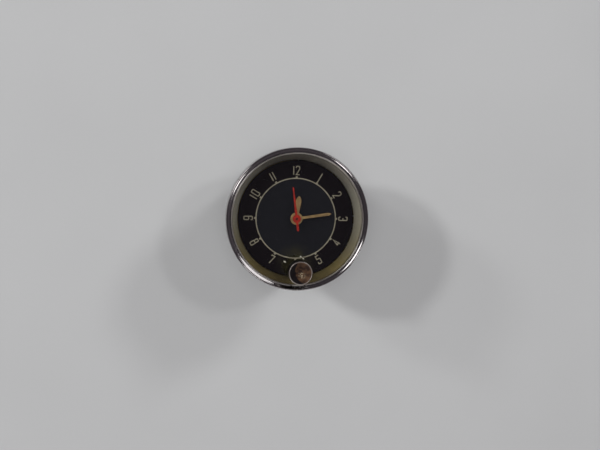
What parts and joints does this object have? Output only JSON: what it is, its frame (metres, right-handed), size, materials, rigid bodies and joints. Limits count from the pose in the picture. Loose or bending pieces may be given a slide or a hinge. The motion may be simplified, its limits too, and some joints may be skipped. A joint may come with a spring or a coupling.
{
  "type": "dashboard clock",
  "caption": "Round panel-mounted car clock with chromed bezel, flat glass, black dial, three hands, push-to-set knob and an electrically rewound lever movement in a drawn can.",
  "frame": {"origin": "centre of the panel hole, in the plane where the bezel meets the panel", "axes": "+Z out of the dial towards the viewer, +Y towards twelve o'clock, +X towards three"},
  "size_m": [0.06, 0.06, 0.0648],
  "materials": {
    "chrome_trim": "polished chrome with light wear",
    "clear_glass": "clear, polished",
    "rubber_seal": "matt",
    "reflector_paint": "satin paint",
    "dial_black": "matt black with printed cream marks",
    "cream_paint": "aged cream paint",
    "red_paint": "satin red paint",
    "worn_plated_brass": "worn plating",
    "plated_steel_can": "dull zinc plating",
    "zinc_steel": "zinc plated",
    "steel": "turned and polished",
    "blued_steel": "blued",
    "soft_iron": "dull",
    "brass": "brushed",
    "fibre_board": "pressed fibre",
    "enamelled_copper": "enamelled copper wire",
    "lead_sleeve": "cotton sleeve"
  },
  "bodies": {
    "clock_body": {"bezel": "chrome_trim", "glass": "clear_glass", "bulb_lamp": "clear_glass", "glass_gasket": "rubber_seal", "reflector_ring": "reflector_paint", "dial": "dial_black", "case": "plated_steel_can", "mounting_studs": "zinc_steel", "stud_nuts": "zinc_steel", "stud_washers": "zinc_steel", "bulb_holder": "zinc_steel", "stem_spring": "steel", "pillar_screws": "steel", "plate_studs": "steel", "yoke_screws": "steel", "drive_spring": "steel", "hairspring": "blued_steel", "coil_yoke": "soft_iron", "stem_guide": "brass", "front_plate": "brass", "back_plate": "brass", "pillars": "brass", "balance_screws": "brass", "contact_blade": "brass", "stud_spacers": "brass", "bulb_contact": "brass", "terminal_blade": "brass", "dial_feet": "brass", "coil_bobbin": "fibre_board", "contact_block": "fibre_board", "terminal_insulator": "fibre_board", "coil_winding": "enamelled_copper", "coil_lead": "lead_sleeve"},
    "minute": {"cannon_pinion": "brass", "minute_hand": "cream_paint"},
    "hour": {"hour_wheel": "brass", "hour_hand": "cream_paint"},
    "minute_idler": {"minute_wheel": "brass"},
    "setting_idler": {"setting_wheel": "brass"},
    "second": {"second_arbor": "steel", "fourth_wheel": "brass", "second_hand": "red_paint"},
    "third": {"third_arbor": "steel", "third_wheel": "brass", "ratchet_wheel": "steel"},
    "centre": {"centre_arbor": "steel", "centre_wheel": "brass"},
    "escape": {"escape_arbor": "steel", "escape_wheel": "brass"},
    "stem_slider": {"stem_washer": "steel"},
    "knob": {"setting_knob": "worn_plated_brass", "setting_stem": "steel", "setting_pinion": "brass", "stem_clip": "steel"},
    "lever": {"pallet_lever": "steel"},
    "balance": {"balance_staff": "steel", "balance_wheel": "brass"},
    "armature": {"armature": "soft_iron", "drive_pawl": "steel"},
    "regulator": {"regulator": "steel"}
  },
  "joints": [
    {"name": "minute_turn", "type": "hinge", "parent": "clock_body", "child": "minute", "pos_m": [0, 0, 0], "axis": [0, 0, -1], "continuous": true},
    {"name": "hour_turn", "type": "hinge", "parent": "clock_body", "child": "hour", "pos_m": [0, 0, 0], "axis": [0, 0, -1], "continuous": true},
    {"name": "minute_wheel_turn", "type": "hinge", "parent": "clock_body", "child": "minute_idler", "pos_m": [0, -0.008, -0.003], "axis": [0, 0, -1], "continuous": true},
    {"name": "setting_wheel_turn", "type": "hinge", "parent": "clock_body", "child": "setting_idler", "pos_m": [0, -0.0165, -0.003], "axis": [0, 0, -1], "continuous": true},
    {"name": "second_turn", "type": "hinge", "parent": "clock_body", "child": "second", "pos_m": [0, 0, 0], "axis": [0, 0, -1], "continuous": true},
    {"name": "third_turn", "type": "hinge", "parent": "clock_body", "child": "third", "pos_m": [-0.009, 0, -0.008], "axis": [0, 0, -1], "continuous": true},
    {"name": "centre_turn", "type": "hinge", "parent": "clock_body", "child": "centre", "pos_m": [0, 0, -0.006], "axis": [0, 0, -1], "continuous": true},
    {"name": "escape_turn", "type": "hinge", "parent": "clock_body", "child": "escape", "pos_m": [0.00827, -0.00301, -0.012], "axis": [0, 0, -1], "continuous": true},
    {"name": "knob_push", "type": "slide", "parent": "clock_body", "child": "stem_slider", "axis": [0, 0, -1], "range_m": [0, 0.002], "stiffness_N_per_m": 60, "springref_m": -0.006, "deforming": ["stem_spring"]},
    {"name": "knob_turn", "type": "hinge", "parent": "stem_slider", "child": "knob", "pos_m": [0, -0.021, 0.009], "axis": [0, 0, -1], "continuous": true},
    {"name": "lever_rock", "type": "hinge", "parent": "clock_body", "child": "lever", "pos_m": [0.00956, -0.00784, -0.0127], "axis": [0, 0, -1], "range_deg": [-5, 5]},
    {"name": "balance_swing", "type": "hinge", "parent": "clock_body", "child": "balance", "pos_m": [0.01281, -0.01347, -0.014], "axis": [0, 0, -1], "range_deg": [-135, 135], "stiffness_Nm_per_rad": 0.000002, "deforming": ["hairspring"]},
    {"name": "armature_swing", "type": "hinge", "parent": "clock_body", "child": "armature", "pos_m": [-0.009, 0, -0.0137], "axis": [0, 0, -1], "range_deg": [0, 15], "stiffness_Nm_per_rad": 0.0002, "springref_deg": -11.46, "deforming": ["drive_spring"]},
    {"name": "regulator_turn", "type": "hinge", "parent": "clock_body", "child": "regulator", "pos_m": [0.01281, -0.01347, -0.0178], "axis": [0, 0, -1], "range_deg": [-25, 25]}
  ],
  "couplings": [
    {"joint": "hour_turn", "follows": "minute_turn", "ratio": 0.083333},
    {"joint": "minute_wheel_turn", "follows": "minute_turn", "ratio": -0.33333},
    {"joint": "setting_wheel_turn", "follows": "minute_turn", "ratio": 0.8},
    {"joint": "third_turn", "follows": "second_turn", "ratio": -0.13333},
    {"joint": "centre_turn", "follows": "second_turn", "ratio": 0.016667},
    {"joint": "escape_turn", "follows": "second_turn", "ratio": -10}
  ]
}
